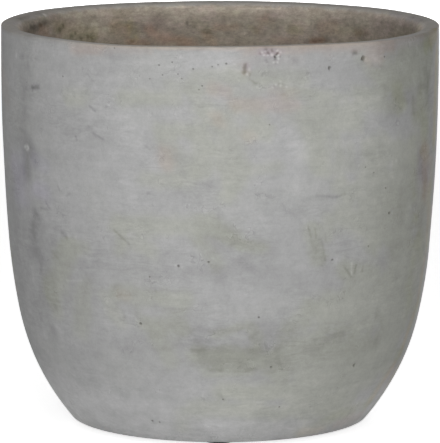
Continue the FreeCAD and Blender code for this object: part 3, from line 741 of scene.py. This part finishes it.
def rimLift(turn):
    ring = np.stack([np.sin(turn), np.cos(turn), np.zeros(len(turn))], axis=1)
    lift = surface["rimSway"] * wander(ring, *surface["swayNoise"])
    for angle, spread, height in surface["rimLifts"]:
        gap = (turn - angle + pi) % (2 * pi) - pi
        lift = lift + height * np.exp(-((gap / spread) ** 2))
    return lift


def sinkPits(points, onWall, fine, hollows):  # depth and painted shade
    depth = np.zeros(len(points))
    pitShade = np.zeros(len(points))
    for place, size in hollows:
        gap = np.linalg.norm(points - np.array(place), axis=1) * (1 + pits["ragged"] * fine) / size
        bowl = np.where(onWall, 1 - softStep(gap, *pits["bowl"]), 0)
        depth = np.maximum(depth, bowl * size * pits["depth"])
        pitShade = np.maximum(pitShade, 1 - softStep(gap, *pits["shadow"]))
    return depth, pitShade


def pathGap(points, path):  # from every point to the nearest place on a path
    gap = np.full(len(points), np.inf)
    for start, end in zip(path[:-1], path[1:]):
        along = end - start
        reach = points - start
        share = np.clip(reach @ along / max(along @ along, 1e-12), 0, 1)
        gap = np.minimum(gap, np.linalg.norm(reach - share[:, None] * along, axis=1))
    return gap


def layStrokes(points, region, strokes, coarse, fine):
    cover = {tint: np.zeros(len(points)) for tint in marks["tints"]}
    for path, half, strength, tint in strokes:
        path = np.array(path)
        low = path.min(axis=0) - marks["reach"] * half
        high = path.max(axis=0) + marks["reach"] * half
        near = np.flatnonzero(region & (points > low).all(axis=1) & (points < high).all(axis=1))
        ragged = coarse[near] + 0.5 * fine[near] if half > marks["raggedHalf"] else fine[near]
        gap = pathGap(points[near], path) / half * (1 + marks["ragged"] * ragged)
        cover[tint][near] += 0.5 ** (gap ** marks["edge"].get(tint, marks["edgeElse"])) * strength
    stainWithPaintedLightAndShade = np.zeros(points.shape)
    for tint, amount in cover.items():
        stainWithPaintedLightAndShade += np.minimum(amount, 1.0)[:, None] * np.array(marks["tints"][tint])
    return stainWithPaintedLightAndShade


# Painted light: paler low sides and back, and a paler lower right side
def paintedLimbLight(z, turn, coarse):
    paintedLowLight = (1 - softStep(z, *surface["paintedLowLightHeight"])) * softStep(np.abs(turn), *surface["paintedLowLightTurn"])
    paintedSideLight = softStep(turn, *surface["paintedSideLightStart"]) * (1 - softStep(turn, *surface["paintedSideLightEnd"]))
    paintedSideLight = paintedSideLight * (1 - softStep(z, *surface["paintedSideLightHeight"]))
    return (paintedLowLight * surface["paintedLowLight"] + paintedSideLight * surface["paintedSideLight"]) * (1 + surface["paintedLightRagged"] * coarse)


def rimTint(z, turn):
    start, full = surface["rimBand"]
    top = softStep(z, rim - start, rim - full)
    front = top * softStep(np.cos(turn), *surface["wearTurn"])
    back = top * (1 - softStep(np.cos(turn), *surface["rimDarkeningTurn"]))
    return front[:, None] * np.array(surface["rimWear"]) + back[:, None] * np.array(surface["rimDarkening"])


def dressShell(mesh, hollows, strokes, innerStrokes):
    points = np.zeros(len(mesh.vertices) * 3)
    mesh.vertices.foreach_get("co", points)
    points = points.reshape(-1, 3)
    x, y, z = points.T.copy()
    radius = np.hypot(x, y)
    turn = np.arctan2(x, -y)  # zero at the front, growing to the right
    outer = wallRadius(z)
    coarse = wander(points, *surface["coarse"])
    fine = wander(points, *surface["fine"])
    lowest = underside + shell["footRound"] * surface["footClear"]
    highest = rim - shell["rimOuterRound"] * surface["rimClear"]
    onFace = radius > outer - shell["wall"] * surface["faceShare"]
    onWall = onFace & (z > lowest) & (z < highest)
    outside = radius > outer - shell["wall"] * surface["outerShare"]
    inner = ~outside & (z > floorTop - surface["floorSlack"])
    fade = softStep(z, lowest, lowest + surface["edgeFade"])
    fade *= 1 - softStep(z, highest - surface["edgeFade"], highest)
    waves = wander(points * np.array(surface["waveScale"]), 1.0, surface["waveSeed"])
    radius = np.where(onWall, outer + waves * fade * surface["wave"], radius)
    points[:, 0] = radius * np.sin(turn)
    points[:, 1] = -radius * np.cos(turn)
    points[:, 2] = z + rimLift(turn) * softStep(z, rim - surface["rimReach"], rim)

    # stains, with painted light and shade from the strokes and the low sides
    stainWithPaintedLightAndShade = layStrokes(points, outside, strokes, coarse, fine)
    stainWithPaintedLightAndShade += layStrokes(points, inner, innerStrokes, coarse, fine)
    # painted light on the low sides and back and on the lower right side
    stainWithPaintedLightAndShade += np.where(outside, paintedLimbLight(z, turn, coarse), 0)[:, None]
    stainWithPaintedLightAndShade += rimTint(z, turn)
    flatTop = shell["wall"] - shell["rimInnerRound"]
    roundIn = np.clip(outer - radius - flatTop, 0, shell["rimInnerRound"])
    coarseShare, fineShare = surface["brownRagged"]
    below = rim - z + surface["roundShare"] * roundIn
    below = below * (1 + coarseShare * coarse + fineShare * fine)
    inside = np.where(inner, softStep(below, *surface["brown"]), 0)
    pale = inside * (1 - softStep(below, surface["brown"][1], surface["paleEnd"])) * surface["paleBand"]
    stainWithPaintedLightAndShade += pale[:, None]

    depth, pitShade = sinkPits(points, onWall, fine, hollows)
    nudge = shell["nudge"]
    slope = (wallRadius(z + nudge) - wallRadius(z - nudge)) / (2 * nudge)
    tilt = np.sqrt(1 + slope**2)
    inward = np.stack([-np.sin(turn) / tilt, np.cos(turn) / tilt, slope / tilt], axis=1)
    points += inward * depth[:, None]
    mesh.vertices.foreach_set("co", points.ravel())
    mesh.update()
    putAttribute(mesh, "pitPaintedShade", pitShade)
    putAttribute(mesh, "stainWithPaintedLightAndShade", stainWithPaintedLightAndShade)
    putAttribute(mesh, "inside", inside)


# Cement: grey with faint olive clouds, trowel streaks and sand grain; brown and sealed inside
cementFinish = {
    "grey": shade(0.400, 0.400, 0.400),
    "olive": shade(0.3995, 0.4004, 0.3950),
    "brown": shade(0.302, 0.272, 0.219),
    "redBrown": shade(0.315, 0.262, 0.225),
    "darkBrown": shade(0.252, 0.219, 0.179),
    "pitShadeColour": shade(0.50, 0.49, 0.47),
    "clouds": {  # scale, detail, roughness, shift, stretch, warp, span
        "sand": (45, 5, 0.9, (3, 1, 0)),
        "streak": (34, 4, 0.62, (0, 5, 2), (0.35, 0.35, 4.5)),
        "strokes": (70, 4, 0.75, (4, 8, 1), (0.55, 0.55, 2.1), 1.5),
        "worked": (22, 2, 0.5, (5, 3, 8), (1, 1, 1), 0.0, (0.40, 0.62, 0.15, 1.0)),
        "grain": (950, 2, 0.6),
        "olive": (14, 2, 0.5, (7, 2, 4), (1, 1, 1), 0.4, (0.45, 0.70)),
        "hue": (40, 4, 0.7, (6, 2, 7), (0.7, 0.7, 1.4), 0.0, (0.42, 0.58)),
        "blotch": (60, 4, 0.75, (1, 9, 3), (0.7, 0.7, 1.6), 0.0, (0.38, 0.62)),
        "nick": (120, 2, 0.5, (8, 1, 5), (1, 1, 1), 0.8),
        "few": (48, 2, 0.5, (2, 7, 3), (1, 1, 1), 0.0, (0.58, 0.68)),
        "speckle": (170, 4, 0.8, (2, 4, 9), (0.8, 0.8, 1.5)),
    },
    "swings": {"sand": 0.32, "streak": 0.09, "brush": 0.25, "grain": 0.05},
    "speckle": 0.60,  # inside only
    "nicks": ((0.0, -0.16), (0.05, 0.10)),  # place and level of a hairline nick and of its lip
    "nickWidth": 0.03,
    "roughness": (0.3, 0.7, 0.70, 0.86),  # from the sand's level to the roughness
    "sealed": -0.15,  # what the coat inside adds to that
    "sandHeight": 1.2,
    "grainHeight": 0.6,
    "specular": 0.12,
    "relief": {"Strength": 0.35, "Distance": 0.0006},
}


def makeCement():
    look = cementFinish
    made = Finish("castCement")
    cloud = {name: made.cloud(*given) for name, given in look["clouds"].items()}
    cloud["brush"] = made.calc("MULTIPLY_ADD", made.centred(cloud["strokes"]), cloud["worked"], 0.5)
    inside = made.own("inside")
    grey = made.mix(cloud["olive"], look["grey"], look["olive"])
    brown = made.mix(cloud["hue"], look["brown"], look["redBrown"])
    brown = made.mix(cloud["blotch"], brown, look["darkBrown"])
    colour = made.mix(inside, grey, brown)
    strength = 1.0
    for name, depth in look["swings"].items():
        swing = made.calc("MULTIPLY_ADD", made.centred(cloud[name]), 2 * depth, 1.0)
        strength = made.calc("MULTIPLY", swing, strength)
    for offset, depth in look["nicks"]:
        line = made.calc("ABSOLUTE", made.calc("SUBTRACT", made.centred(cloud["nick"]), offset))
        nick = made.calc("MULTIPLY", made.spread(line, 0.0, look["nickWidth"], 1.0, 0.0), cloud["few"])
        strength = made.calc("MULTIPLY", made.calc("MULTIPLY_ADD", nick, depth, 1.0), strength)
    speckle = made.calc("MULTIPLY", made.centred(cloud["speckle"]), inside)
    swing = made.calc("MULTIPLY_ADD", speckle, 2 * look["speckle"], 1.0)
    strength = made.calc("MULTIPLY", swing, strength)
    evenly = made.add("ShaderNodeCombineXYZ", {0: strength, 1: strength, 2: strength}).outputs[0]
    colour = made.mix(1.0, colour, evenly, "MULTIPLY")
    # stains, with painted light and shade
    stainWithPaintedLightAndShade = made.add("ShaderNodeVectorMath", {0: made.own("stainWithPaintedLightAndShade", "Vector"), 1: (1, 1, 1)}).outputs[0]
    colour = made.mix(1.0, colour, stainWithPaintedLightAndShade, "MULTIPLY")
    # painted shade in the pits
    colour = made.mix(made.own("pitPaintedShade"), colour, look["pitShadeColour"], "MULTIPLY")
    rough = made.calc("MULTIPLY_ADD", inside, look["sealed"], made.spread(cloud["sand"], *look["roughness"]))
    height = made.calc("MULTIPLY", cloud["sand"], look["sandHeight"])
    height = made.calc("MULTIPLY_ADD", cloud["grain"], look["grainHeight"], height)
    return made.finish(look, colour, rough, height)


# Black rubber of the plug and the pads, dulled by dust
rubberFinish = {
    "black": shade(0.018, 0.018, 0.019),
    "dust": shade(0.060, 0.057, 0.052),
    "dustCloud": (60, 4, 0.6, (0, 0, 0), (1, 1, 1), 0.5, (0.45, 0.75)),
    "plugGrain": (700, 2, 0.5),
    "padGrain": (1100, 2, 0.5),
    "roughness": (0.3, 0.7, 0.55, 0.72),  # from the grain's level to the roughness
    "specular": 0.35,
    "relief": {"Strength": 0.25, "Distance": 0.0003},
}


def makeRubber(name, grain):
    look = rubberFinish
    made = Finish(name)
    colour = made.mix(made.cloud(*look["dustCloud"]), look["black"], look["dust"])
    bumps = made.cloud(*look[grain])
    return made.finish(look, colour, made.spread(bumps, *look["roughness"]), bumps)


def findPits(tree, pot):
    hollows = []
    for x, y, size in pits["seen"]:
        place, pixel = spotAt(tree, x, y)
        hollows.append((place, size * pixel))
    draw = np.random.default_rng(pits["seed"])
    for place in scatterPits(pot):
        size = draw.uniform(*pits["radii"])
        if abs(np.arctan2(place.x, -place.y)) > pits["unseen"]:
            hollows.append((place, size))
    return hollows


def fineSpots(hollows, strokes):  # where the faces are too large for what is to show there
    spots = [(place, size, len(marks["margins"])) for place, size in hollows]
    pixel = photo["distance"] / photo["focal"]
    for path, half, strength, tint in strokes:
        level = sum(half < limit * pixel for limit in marks["fineHalves"])
        for start, end in zip(path[:-1], path[1:]):
            steps = max(1, round((end - start).length / marks["spotStep"]))
            spots += [(start.lerp(end, step / steps), half, level) for step in range(steps + 1) if level]
    return spots


def makeShell():
    mesh = turnShell(makeCement())
    mesh.name = "shell"
    pot = stand("shell", mesh)
    bpy.context.view_layer.update()
    print("shell turned:", len(mesh.polygons), "faces")
    tree = BVHTree.FromObject(pot, bpy.context.evaluated_depsgraph_get())
    hollows = findPits(tree, pot)
    strokes = seenStrokes(tree, wallMarks) + unseenStrokes()
    innerStrokes = seenStrokes(tree, insideMarks)
    refineAround(mesh, fineSpots(hollows, strokes + innerStrokes))
    dressShell(mesh, hollows, strokes, innerStrokes)
    mesh.shade_smooth()
    mesh.set_sharp_from_angle(angle=radians(shell["sharpAngle"]))
    print("shell dressed:", len(mesh.polygons), "faces,", len(strokes) + len(innerStrokes), "strokes")
    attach(pot, "pot")
    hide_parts("pot_shell")


makeShell()

plugRubber = makeRubber("plugRubber", "plugGrain")
padRubber = makeRubber("padRubber", "padGrain")
for name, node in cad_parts.items():
    if name != "pot_shell":
        node.data.materials.clear()
        node.data.materials.append(plugRubber if name == "drain_plug" else padRubber)
print("rubber laid on the plug and the pads")


# A pale floor and soft studio light, mostly from the front
studio = {
    "floorHalf": 9.0,
    "floorColour": 0.88,
    "floorGlow": 0.71,  # lifts the open floor to white where it is seen
    "skyLevel": 0.03,
    "lamps": {  # place, aim, width, height, level at the pot
        "frontSoftbox": ((-0.2, -4.6, 1.2), (0, 0, 0.18), 2.2, 0.8, 0.485),
        "leftSoftbox": ((-2.8, -3.6, 0.8), (0, 0, 0.18), 1.6, 1.6, 0.13),
        "rightSoftbox": ((2.8, -3.6, 0.8), (0, 0, 0.18), 1.6, 1.6, 0.11),
        "overheadSoftbox": ((0, -0.6, 3.0), (0, 0, 0.0), 2.6, 2.6, 0.30),
        "rearSoftbox": ((1.3, 4.4, 0.16), (0, 0, 0.18), 1.2, 0.30, 0.30),  # these two lower than the rim
        "backSoftbox": ((-0.3, 4.4, 0.16), (0, 0, 0.18), 1.0, 0.30, 0.36),
    },
}


def seenRay(bench):
    path = bench.add("ShaderNodeLightPath").outputs
    first = bench.calc("MAXIMUM", path["Is Camera Ray"], path["Is Glossy Ray"])
    return bench.calc("MAXIMUM", first, path["Is Transmission Ray"])


def setFloor():
    half = studio["floorHalf"]
    mesh = bpy.data.meshes.new("floor")
    corners = [(-half, -half, 0), (half, -half, 0), (half, half, 0), (-half, half, 0)]
    mesh.from_pydata(corners, [], [(0, 1, 2, 3)])
    floor = stand("floor", mesh)
    material = bpy.data.materials.new("paleFloor")
    bench = Bench(clearedTree(material))
    pale = studio["floorColour"]
    matt = bench.add("ShaderNodeBsdfDiffuse", {"Color": shade(pale, pale, pale)})
    level = bench.calc("MULTIPLY", seenRay(bench), studio["floorGlow"])
    glow = bench.add("ShaderNodeEmission", {"Color": shade(1, 1, 1), "Strength": level})
    both = bench.add("ShaderNodeAddShader", {0: matt.outputs[0], 1: glow.outputs[0]})
    bench.add("ShaderNodeOutputMaterial", {"Surface": both.outputs[0]})
    mesh.materials.append(material)


def setLight():
    scene.world = bpy.data.worlds.new("studio")
    bench = Bench(clearedTree(scene.world))
    feeds = {"Value": seenRay(bench), "To Min": studio["skyLevel"], "To Max": 1.0}
    level = bench.add("ShaderNodeMapRange", feeds).outputs["Result"]
    back = bench.add("ShaderNodeBackground", {"Color": shade(1, 1, 1), "Strength": level})
    bench.add("ShaderNodeOutputWorld", {"Surface": back.outputs[0]})
    for name, (place, aim, width, height, level) in studio["lamps"].items():
        data = bpy.data.lights.new(name, "AREA")
        data.shape = "RECTANGLE"
        data.size = width
        data.size_y = height
        way = Vector(aim) - Vector(place)
        data.energy = level * pi**2 * way.length_squared
        lamp = stand(name, data)
        lamp.location = place
        lamp.rotation_euler = way.to_track_quat("-Z", "Y").to_euler()
        lamp.visible_camera = False


setFloor()
setLight()
print("floor and light set")
